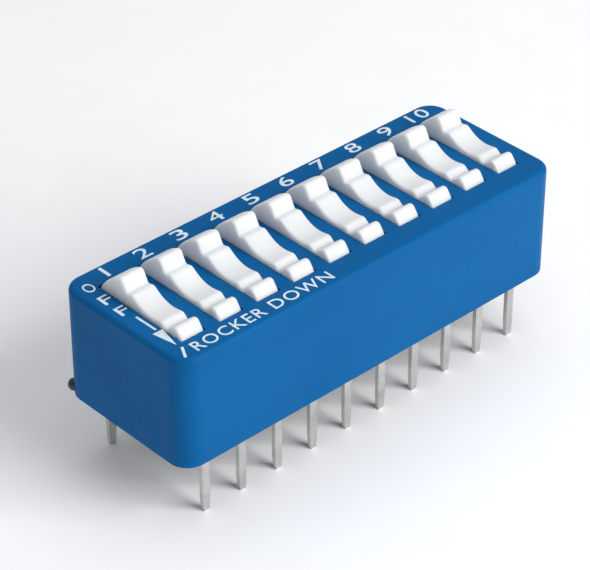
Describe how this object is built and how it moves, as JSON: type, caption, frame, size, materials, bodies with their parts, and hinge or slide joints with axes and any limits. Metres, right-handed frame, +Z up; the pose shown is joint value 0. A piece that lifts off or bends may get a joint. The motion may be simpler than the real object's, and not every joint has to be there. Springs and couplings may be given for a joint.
{
  "type": "dip switch",
  "caption": "Blue rocker DIP switch: a row of white rockers in a sealed through-hole housing, all set to off, with two rows of flat tin-plated legs.",
  "frame": {"origin": "middle of the seating plane, where the cover's bottom rim meets the circuit board", "axes": "+X along the row from position 1 to the last position, +Y towards the back row of legs, where the numerals are, +Z up out of the circuit board"},
  "size_m": [0.0272, 0.0098, 0.0123],
  "materials": {
    "cover_blue": "satin moulded thermoplastic, saturated blue, printed in white",
    "base_black": "moulded, black",
    "seal_resin": "cast black sealing resin, slightly glossy",
    "rocker_white": "smooth moulded, cool white",
    "terminal_tin": "stamped strip, dull tin plating over copper alloy, silver-grey",
    "spring_steel": "drawn wire, bright",
    "legend_ink": "thin white pad-printed ink on the cover, numerals and plain words",
    "ball_gold": "polished, gold plated"
  },
  "bodies": {
    "housing": {"cover": "cover_blue", "base": "base_black", "seal": "seal_resin", "terminal_front_01": "terminal_tin", "terminal_front_02": "terminal_tin", "terminal_front_03": "terminal_tin", "terminal_front_04": "terminal_tin", "terminal_front_05": "terminal_tin", "terminal_front_06": "terminal_tin", "terminal_front_07": "terminal_tin", "terminal_front_08": "terminal_tin", "terminal_front_09": "terminal_tin", "terminal_front_10": "terminal_tin", "terminal_back_01": "terminal_tin", "terminal_back_02": "terminal_tin", "terminal_back_03": "terminal_tin", "terminal_back_04": "terminal_tin", "terminal_back_05": "terminal_tin", "terminal_back_06": "terminal_tin", "terminal_back_07": "terminal_tin", "terminal_back_08": "terminal_tin", "terminal_back_09": "terminal_tin", "terminal_back_10": "terminal_tin"},
    "rocker_01": {"rocker_01": "rocker_white", "spring_01": "spring_steel"},
    "ball_01": {"ball_01": "ball_gold"},
    "rocker_02": {"rocker_02": "rocker_white", "spring_02": "spring_steel"},
    "ball_02": {"ball_02": "ball_gold"},
    "rocker_03": {"rocker_03": "rocker_white", "spring_03": "spring_steel"},
    "ball_03": {"ball_03": "ball_gold"},
    "rocker_04": {"rocker_04": "rocker_white", "spring_04": "spring_steel"},
    "ball_04": {"ball_04": "ball_gold"},
    "rocker_05": {"rocker_05": "rocker_white", "spring_05": "spring_steel"},
    "ball_05": {"ball_05": "ball_gold"},
    "rocker_06": {"rocker_06": "rocker_white", "spring_06": "spring_steel"},
    "ball_06": {"ball_06": "ball_gold"},
    "rocker_07": {"rocker_07": "rocker_white", "spring_07": "spring_steel"},
    "ball_07": {"ball_07": "ball_gold"},
    "rocker_08": {"rocker_08": "rocker_white", "spring_08": "spring_steel"},
    "ball_08": {"ball_08": "ball_gold"},
    "rocker_09": {"rocker_09": "rocker_white", "spring_09": "spring_steel"},
    "ball_09": {"ball_09": "ball_gold"},
    "rocker_10": {"rocker_10": "rocker_white", "spring_10": "spring_steel"},
    "ball_10": {"ball_10": "ball_gold"}
  },
  "joints": [
    {"name": "rocker_tilt_01", "type": "hinge", "parent": "housing", "child": "rocker_01", "pos_m": [-0.01143, 0, 0.0048], "axis": [1, 0, 0], "range_deg": [-24, 0]},
    {"name": "ball_press_01", "type": "slide", "parent": "rocker_01", "child": "ball_01", "axis": [0, -0.2079, 0.9781], "range_m": [0, 0.00012], "stiffness_N_per_m": 730, "springref_m": -0.0006, "deforming": ["spring_01"]},
    {"name": "rocker_tilt_02", "type": "hinge", "parent": "housing", "child": "rocker_02", "pos_m": [-0.00889, 0, 0.0048], "axis": [1, 0, 0], "range_deg": [-24, 0]},
    {"name": "ball_press_02", "type": "slide", "parent": "rocker_02", "child": "ball_02", "axis": [0, -0.2079, 0.9781], "range_m": [0, 0.00012], "stiffness_N_per_m": 730, "springref_m": -0.0006, "deforming": ["spring_02"]},
    {"name": "rocker_tilt_03", "type": "hinge", "parent": "housing", "child": "rocker_03", "pos_m": [-0.00635, 0, 0.0048], "axis": [1, 0, 0], "range_deg": [-24, 0]},
    {"name": "ball_press_03", "type": "slide", "parent": "rocker_03", "child": "ball_03", "axis": [0, -0.2079, 0.9781], "range_m": [0, 0.00012], "stiffness_N_per_m": 730, "springref_m": -0.0006, "deforming": ["spring_03"]},
    {"name": "rocker_tilt_04", "type": "hinge", "parent": "housing", "child": "rocker_04", "pos_m": [-0.00381, 0, 0.0048], "axis": [1, 0, 0], "range_deg": [-24, 0]},
    {"name": "ball_press_04", "type": "slide", "parent": "rocker_04", "child": "ball_04", "axis": [0, -0.2079, 0.9781], "range_m": [0, 0.00012], "stiffness_N_per_m": 730, "springref_m": -0.0006, "deforming": ["spring_04"]},
    {"name": "rocker_tilt_05", "type": "hinge", "parent": "housing", "child": "rocker_05", "pos_m": [-0.00127, 0, 0.0048], "axis": [1, 0, 0], "range_deg": [-24, 0]},
    {"name": "ball_press_05", "type": "slide", "parent": "rocker_05", "child": "ball_05", "axis": [0, -0.2079, 0.9781], "range_m": [0, 0.00012], "stiffness_N_per_m": 730, "springref_m": -0.0006, "deforming": ["spring_05"]},
    {"name": "rocker_tilt_06", "type": "hinge", "parent": "housing", "child": "rocker_06", "pos_m": [0.00127, 0, 0.0048], "axis": [1, 0, 0], "range_deg": [-24, 0]},
    {"name": "ball_press_06", "type": "slide", "parent": "rocker_06", "child": "ball_06", "axis": [0, -0.2079, 0.9781], "range_m": [0, 0.00012], "stiffness_N_per_m": 730, "springref_m": -0.0006, "deforming": ["spring_06"]},
    {"name": "rocker_tilt_07", "type": "hinge", "parent": "housing", "child": "rocker_07", "pos_m": [0.00381, 0, 0.0048], "axis": [1, 0, 0], "range_deg": [-24, 0]},
    {"name": "ball_press_07", "type": "slide", "parent": "rocker_07", "child": "ball_07", "axis": [0, -0.2079, 0.9781], "range_m": [0, 0.00012], "stiffness_N_per_m": 730, "springref_m": -0.0006, "deforming": ["spring_07"]},
    {"name": "rocker_tilt_08", "type": "hinge", "parent": "housing", "child": "rocker_08", "pos_m": [0.00635, 0, 0.0048], "axis": [1, 0, 0], "range_deg": [-24, 0]},
    {"name": "ball_press_08", "type": "slide", "parent": "rocker_08", "child": "ball_08", "axis": [0, -0.2079, 0.9781], "range_m": [0, 0.00012], "stiffness_N_per_m": 730, "springref_m": -0.0006, "deforming": ["spring_08"]},
    {"name": "rocker_tilt_09", "type": "hinge", "parent": "housing", "child": "rocker_09", "pos_m": [0.00889, 0, 0.0048], "axis": [1, 0, 0], "range_deg": [-24, 0]},
    {"name": "ball_press_09", "type": "slide", "parent": "rocker_09", "child": "ball_09", "axis": [0, -0.2079, 0.9781], "range_m": [0, 0.00012], "stiffness_N_per_m": 730, "springref_m": -0.0006, "deforming": ["spring_09"]},
    {"name": "rocker_tilt_10", "type": "hinge", "parent": "housing", "child": "rocker_10", "pos_m": [0.01143, 0, 0.0048], "axis": [1, 0, 0], "range_deg": [-24, 0]},
    {"name": "ball_press_10", "type": "slide", "parent": "rocker_10", "child": "ball_10", "axis": [0, -0.2079, 0.9781], "range_m": [0, 0.00012], "stiffness_N_per_m": 730, "springref_m": -0.0006, "deforming": ["spring_10"]}
  ]
}
